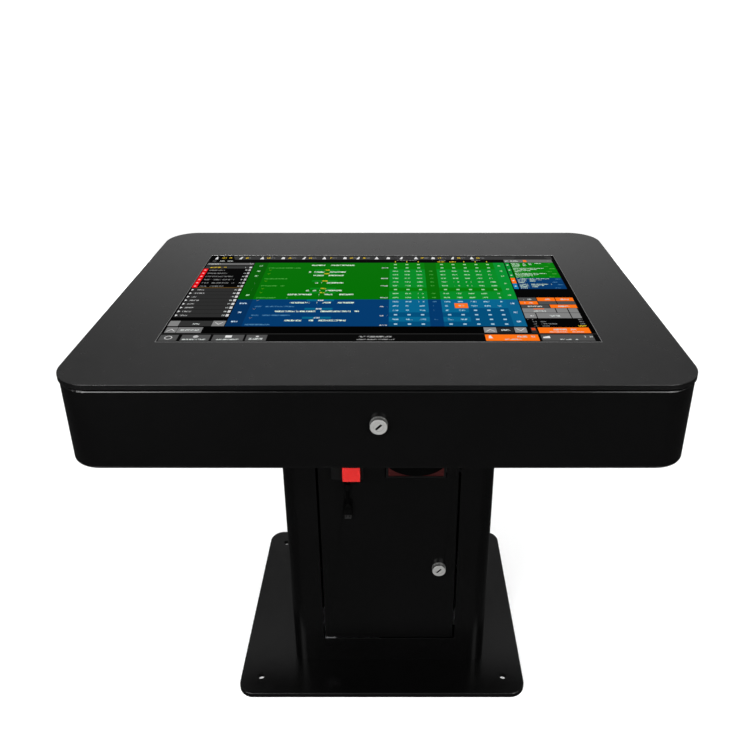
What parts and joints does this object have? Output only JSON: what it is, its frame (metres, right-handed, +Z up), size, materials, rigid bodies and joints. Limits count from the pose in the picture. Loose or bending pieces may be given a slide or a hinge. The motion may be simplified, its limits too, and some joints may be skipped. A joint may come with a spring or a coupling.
{
  "type": "touch screen gaming table terminal",
  "caption": "Black table terminal: a deep tray with a hinged touch screen lid on a column whose door carries a coin entry, a note slot and a short plug lead.",
  "frame": {"origin": "on the floor, centre of the floor plate's four bolt holes, under the middle of the lid", "axes": "+X to the player's right, +Y away from the player, +Z up"},
  "size_m": [0.935, 0.6905, 0.76],
  "materials": {
    "black_paint": "satin black powder coat",
    "lid_black": "matt black coating on aluminium plate",
    "screen": "gloss, with the lit display behind it",
    "trim": "satin metal trim",
    "inner_steel": "zinc plated sheet, satin",
    "panel_back": "display module back, satin",
    "nickel": "satin nickel",
    "bright_steel": "brushed",
    "black_plastic": "fine moulded texture",
    "grey_plastic": "fine moulded texture",
    "red_button": "gloss red moulding",
    "red_lens": "red translucent moulding",
    "computer_case": "anodised",
    "electronics_case": "satin grey casing",
    "rubber": "matt"
  },
  "bodies": {
    "housing": {"floor_plate": "black_paint", "column_shell": "black_paint", "column_top_plate": "black_paint", "column_bolts": "bright_steel", "tray_floor": "black_paint", "tray_wall": "black_paint", "lid_bumpers": "rubber", "hinge_leaves_tray": "black_paint", "hinge_pins": "bright_steel", "hinge_screws": "bright_steel", "stay_brackets": "inner_steel", "lid_lock_barrel": "nickel", "fan_frame": "black_plastic", "fan_guard": "bright_steel", "mini_computer": "computer_case", "door_pivot_brackets": "inner_steel", "door_strike": "inner_steel", "note_bezel": "black_plastic", "note_lens": "red_lens", "note_snout": "black_plastic", "note_validator": "grey_plastic", "note_cash_box": "grey_plastic", "validator_bracket": "inner_steel", "coin_box": "inner_steel", "inlet_plate": "black_paint", "inlet_socket": "black_plastic", "power_supply": "electronics_case", "wiring_conduit": "black_plastic", "conduit_clips": "grey_plastic"},
    "lid": {"top_plate": "lid_black", "display_trim": "trim", "touch_glass": "screen", "lcd_panel": "panel_back", "display_driver_box": "electronics_case", "lid_stiffener": "inner_steel", "lcd_clamp_bars": "inner_steel", "lcd_clamp_screws": "bright_steel", "hinge_leaves_lid": "black_paint", "stay_rails": "inner_steel", "lid_catch": "inner_steel"},
    "stay_left": {"lid_stay_left": "bright_steel"},
    "stay_right": {"lid_stay_right": "bright_steel"},
    "lid_lock": {"lid_lock_plug": "nickel", "lid_lock_cam": "bright_steel"},
    "fan": {"fan_rotor": "black_plastic"},
    "door": {"door_panel": "black_paint", "door_stiffener": "inner_steel", "door_pivot_pins": "bright_steel", "coin_plate": "black_plastic", "coin_acceptor": "grey_plastic", "coin_chute": "black_plastic", "door_lock_barrel": "nickel", "lead_gland": "black_plastic", "lead_cord": "rubber", "lead_plug_grip": "rubber", "lead_plug_shell": "bright_steel"},
    "door_lock": {"door_lock_plug": "nickel", "door_lock_cam": "bright_steel"},
    "coin_button": {"coin_reject_button": "red_button"},
    "rocker": {"power_rocker": "black_plastic"}
  },
  "joints": [
    {"name": "lid_hinge", "type": "hinge", "parent": "housing", "child": "lid", "pos_m": [0, 0.3405, 0.748], "axis": [-1, 0, 0], "range_deg": [0, 60]},
    {"name": "stay_left_pivot", "type": "hinge", "parent": "housing", "child": "stay_left", "pos_m": [-0.431, 0.1614, 0.73], "axis": [-1, 0, 0], "range_deg": [0, 120]},
    {"name": "stay_right_pivot", "type": "hinge", "parent": "housing", "child": "stay_right", "pos_m": [0.431, 0.1614, 0.73], "axis": [-1, 0, 0], "range_deg": [0, 120]},
    {"name": "lid_lock_turn", "type": "hinge", "parent": "housing", "child": "lid_lock", "pos_m": [0.0023, -0.3355, 0.6955], "axis": [0, 1, 0], "range_deg": [0, 90]},
    {"name": "fan_spin", "type": "hinge", "parent": "housing", "child": "fan", "pos_m": [0.25, 0.3205, 0.6835], "axis": [0, 1, 0], "continuous": true},
    {"name": "door_hinge", "type": "hinge", "parent": "housing", "child": "door", "pos_m": [-0.1065, -0.1463, 0.33], "axis": [0, 0, -1], "range_deg": [0, 105]},
    {"name": "door_lock_turn", "type": "hinge", "parent": "door", "child": "door_lock", "pos_m": [0.109, -0.1525, 0.255], "axis": [0, 1, 0], "range_deg": [0, 90]},
    {"name": "coin_button_press", "type": "slide", "parent": "door", "child": "coin_button", "axis": [0, 1, 0], "range_m": [0, 0.004], "stiffness_N_per_m": 300, "springref_m": -0.003},
    {"name": "power_rocker_tip", "type": "hinge", "parent": "housing", "child": "rocker", "pos_m": [0.114, 0.1485, 0.112], "axis": [1, 0, 0], "range_deg": [0, 16]}
  ],
  "couplings": [
    {"joint": "stay_left_pivot", "follows": "lid_hinge", "ratio": 2},
    {"joint": "stay_right_pivot", "follows": "lid_hinge", "ratio": 2}
  ]
}
